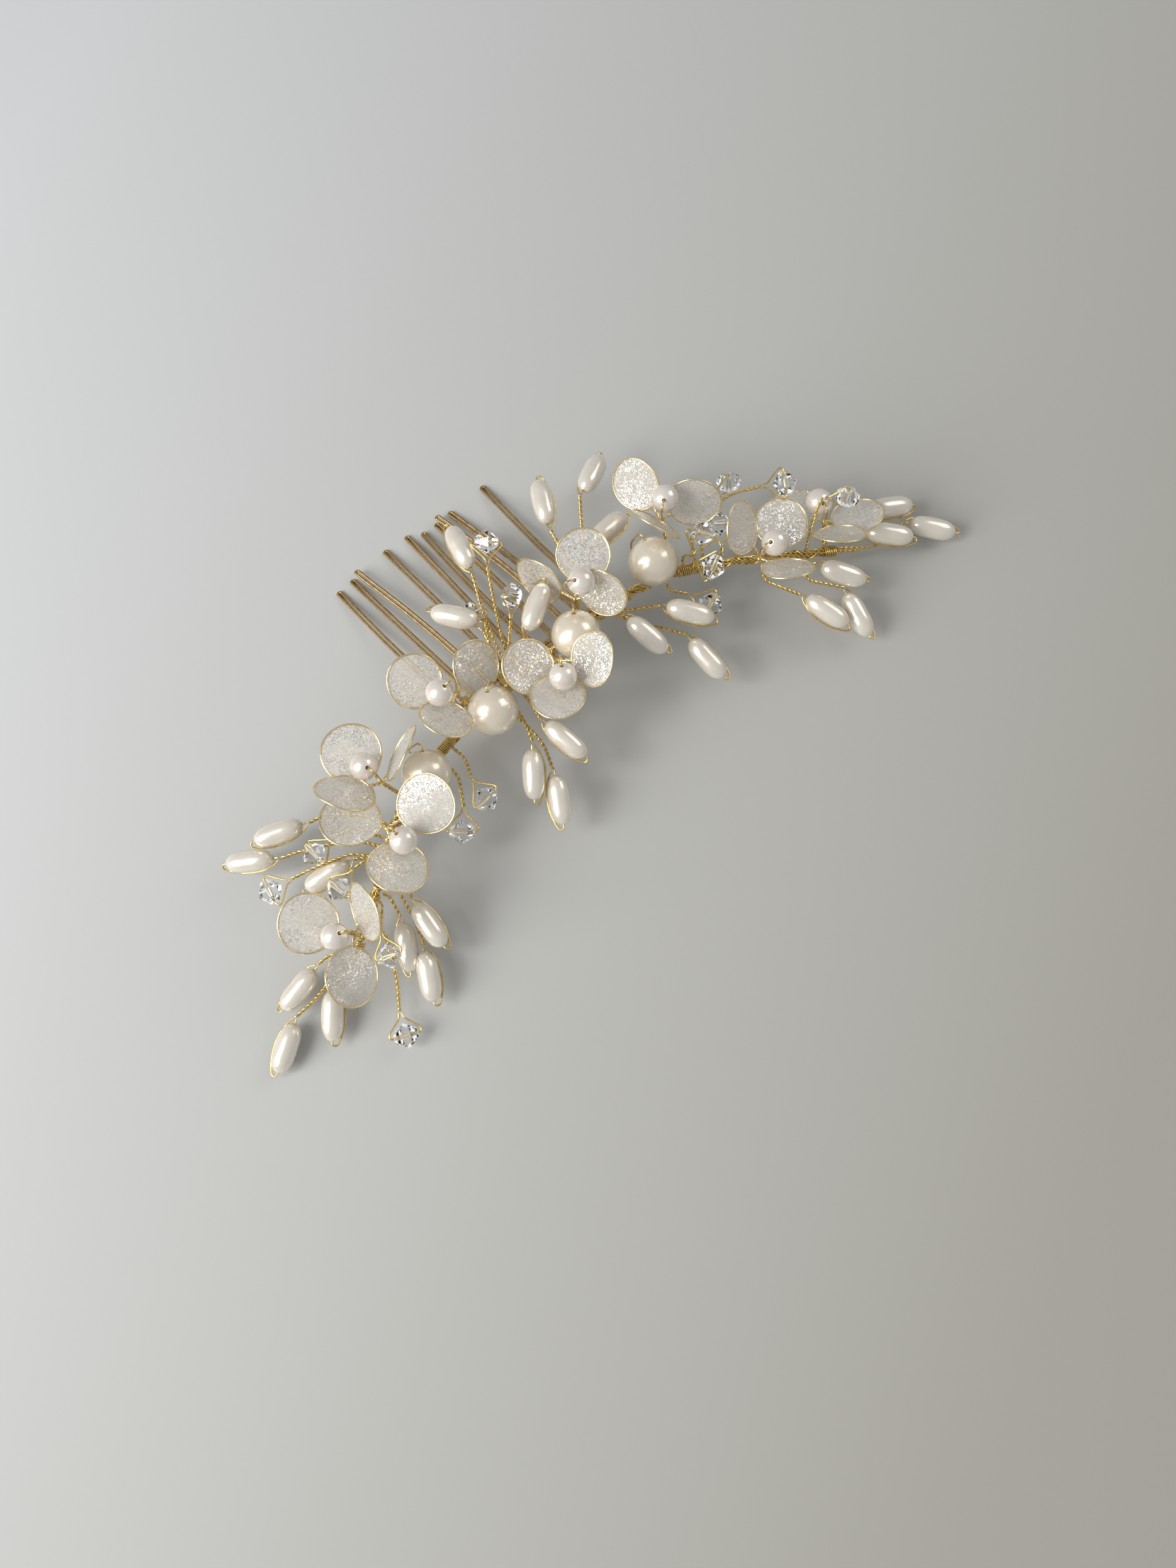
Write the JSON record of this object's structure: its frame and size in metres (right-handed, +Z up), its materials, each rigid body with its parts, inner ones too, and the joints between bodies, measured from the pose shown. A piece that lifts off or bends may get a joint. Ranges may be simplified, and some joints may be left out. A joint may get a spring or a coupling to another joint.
{
  "type": "decorative hair comb",
  "caption": "Wire hair comb with a crescent vine of film-petal flowers, round and rice pearls, and crystals that spin on wire loops.",
  "frame": {"origin": "on the surface that the comb lies on, under the middle of its bounding box", "axes": "+X along the comb bar, from the left wing to the right wing; +Y towards the tips of the teeth; +Z up, out of the decorated face"},
  "size_m": [0.1802, 0.0872, 0.0302],
  "materials": {
    "antique_gold_wire": "antique gold, polished by wear",
    "gold_wire": "bright gold-plated craft wire",
    "ivory_pearl": "ivory pearl lustre",
    "white_pearl": "white pearl lustre",
    "rice_pearl": "cream pearl lustre",
    "petal_film": "frosted film with fine silver glitter",
    "crystal": "clear faceted"
  },
  "bodies": {
    "comb": {"comb_bar": "antique_gold_wire", "comb_lashings": "gold_wire", "comb_teeth": "antique_gold_wire", "crystal_loops_left": "gold_wire", "crystal_loops_middle": "gold_wire", "crystal_loops_right": "gold_wire", "flower_1_petal_films": "petal_film", "flower_1_petal_wires": "gold_wire", "flower_2_petal_films": "petal_film", "flower_2_petal_wires": "gold_wire", "flower_3_petal_films": "petal_film", "flower_3_petal_wires": "gold_wire", "flower_4_petal_films": "petal_film", "flower_4_petal_wires": "gold_wire", "flower_5_petal_films": "petal_film", "flower_5_petal_wires": "gold_wire", "flower_6_petal_films": "petal_film", "flower_6_petal_wires": "gold_wire", "flower_7_petal_films": "petal_film", "flower_7_petal_wires": "gold_wire", "flower_8_petal_films": "petal_film", "flower_8_petal_wires": "gold_wire", "flower_9_petal_films": "petal_film", "flower_9_petal_wires": "gold_wire", "flower_pearl_wires": "gold_wire", "flower_pearls": "white_pearl", "flower_stalks": "gold_wire", "large_pearl_wires": "gold_wire", "large_pearls": "ivory_pearl", "rice_pearl_wires_left": "gold_wire", "rice_pearl_wires_middle": "gold_wire", "rice_pearl_wires_right": "gold_wire", "rice_pearls_left": "rice_pearl", "rice_pearls_middle": "rice_pearl", "rice_pearls_right": "rice_pearl", "stems_left": "gold_wire", "stems_middle": "gold_wire", "stems_right": "gold_wire", "vine_binding_left": "gold_wire", "vine_binding_middle": "gold_wire", "vine_binding_right": "gold_wire", "vine_core": "gold_wire"},
    "crystal_left_1": {"crystal_left_1": "crystal"},
    "crystal_left_2": {"crystal_left_2": "crystal"},
    "crystal_left_3": {"crystal_left_3": "crystal"},
    "crystal_left_4": {"crystal_left_4": "crystal"},
    "crystal_left_5": {"crystal_left_5": "crystal"},
    "crystal_middle_1": {"crystal_middle_1": "crystal"},
    "crystal_middle_2": {"crystal_middle_2": "crystal"},
    "crystal_middle_3": {"crystal_middle_3": "crystal"},
    "crystal_middle_4": {"crystal_middle_4": "crystal"},
    "crystal_middle_5": {"crystal_middle_5": "crystal"},
    "crystal_right_1": {"crystal_right_1": "crystal"},
    "crystal_right_2": {"crystal_right_2": "crystal"},
    "crystal_right_3": {"crystal_right_3": "crystal"},
    "crystal_right_4": {"crystal_right_4": "crystal"},
    "crystal_right_5": {"crystal_right_5": "crystal"},
    "crystal_right_6": {"crystal_right_6": "crystal"},
    "crystal_right_7": {"crystal_right_7": "crystal"}
  },
  "joints": [
    {"name": "spin_left_1", "type": "hinge", "parent": "comb", "child": "crystal_left_1", "pos_m": [-0.05733, -0.00327, 0.0132], "axis": [0.0819, -0.9361, 0.342], "continuous": true},
    {"name": "spin_left_2", "type": "hinge", "parent": "comb", "child": "crystal_left_2", "pos_m": [-0.06883, -0.00277, 0.008], "axis": [-0.1392, -0.9903, 0], "continuous": true},
    {"name": "spin_left_3", "type": "hinge", "parent": "comb", "child": "crystal_left_3", "pos_m": [-0.05773, -0.01137, 0.0112], "axis": [0.2061, -0.8831, 0.4216], "continuous": true},
    {"name": "spin_left_4", "type": "hinge", "parent": "comb", "child": "crystal_left_4", "pos_m": [-0.05773, -0.02787, 0.0108], "axis": [0.8075, -0.3173, 0.4973], "continuous": true},
    {"name": "spin_left_5", "type": "hinge", "parent": "comb", "child": "crystal_left_5", "pos_m": [-0.06473, -0.04127, 0.0032], "axis": [0.9272, -0.3746, 0], "continuous": true},
    {"name": "spin_middle_1", "type": "hinge", "parent": "comb", "child": "crystal_middle_1", "pos_m": [0.00757, 0.02693, 0.0146], "axis": [-0.8008, 0.5401, 0.2588], "continuous": true},
    {"name": "spin_middle_2", "type": "hinge", "parent": "comb", "child": "crystal_middle_2", "pos_m": [0.00397, 0.01333, 0.0186], "axis": [-0.4605, 0.2291, 0.8576], "continuous": true},
    {"name": "spin_middle_3", "type": "hinge", "parent": "comb", "child": "crystal_middle_3", "pos_m": [-0.00323, 0.01783, 0.0104], "axis": [-0.9283, 0.1573, 0.3368], "continuous": true},
    {"name": "spin_middle_4", "type": "hinge", "parent": "comb", "child": "crystal_middle_4", "pos_m": [-0.02433, -0.01527, 0.0136], "axis": [0.866, 0, 0.5], "continuous": true},
    {"name": "spin_middle_5", "type": "hinge", "parent": "comb", "child": "crystal_middle_5", "pos_m": [-0.03193, -0.01727, 0.0118], "axis": [0.7544, -0.633, 0.1736], "continuous": true},
    {"name": "spin_right_1", "type": "hinge", "parent": "comb", "child": "crystal_right_1", "pos_m": [0.05417, 0.00643, 0.0154], "axis": [-0.0121, 0.1732, 0.9848], "continuous": true},
    {"name": "spin_right_2", "type": "hinge", "parent": "comb", "child": "crystal_right_2", "pos_m": [0.06247, -0.00127, 0.017], "axis": [0.483, 0.8365, 0.2588], "continuous": true},
    {"name": "spin_right_3", "type": "hinge", "parent": "comb", "child": "crystal_right_3", "pos_m": [0.04197, 0.00043, 0.0184], "axis": [-0.6259, 0.6637, 0.4096], "continuous": true},
    {"name": "spin_right_4", "type": "hinge", "parent": "comb", "child": "crystal_right_4", "pos_m": [0.03957, -0.00627, 0.0174], "axis": [0.8634, 0.452, 0.2241], "continuous": true},
    {"name": "spin_right_5", "type": "hinge", "parent": "comb", "child": "crystal_right_5", "pos_m": [0.03637, -0.01037, 0.0094], "axis": [0.8997, 0.4006, 0.1736], "continuous": true},
    {"name": "spin_right_6", "type": "hinge", "parent": "comb", "child": "crystal_right_6", "pos_m": [0.06977, -0.01167, 0.0188], "axis": [0.0971, 0.144, 0.9848], "continuous": true},
    {"name": "spin_right_7", "type": "hinge", "parent": "comb", "child": "crystal_right_7", "pos_m": [0.04717, 0.00093, 0.0146], "axis": [-0.8376, 0.4286, 0.3387], "continuous": true}
  ]
}
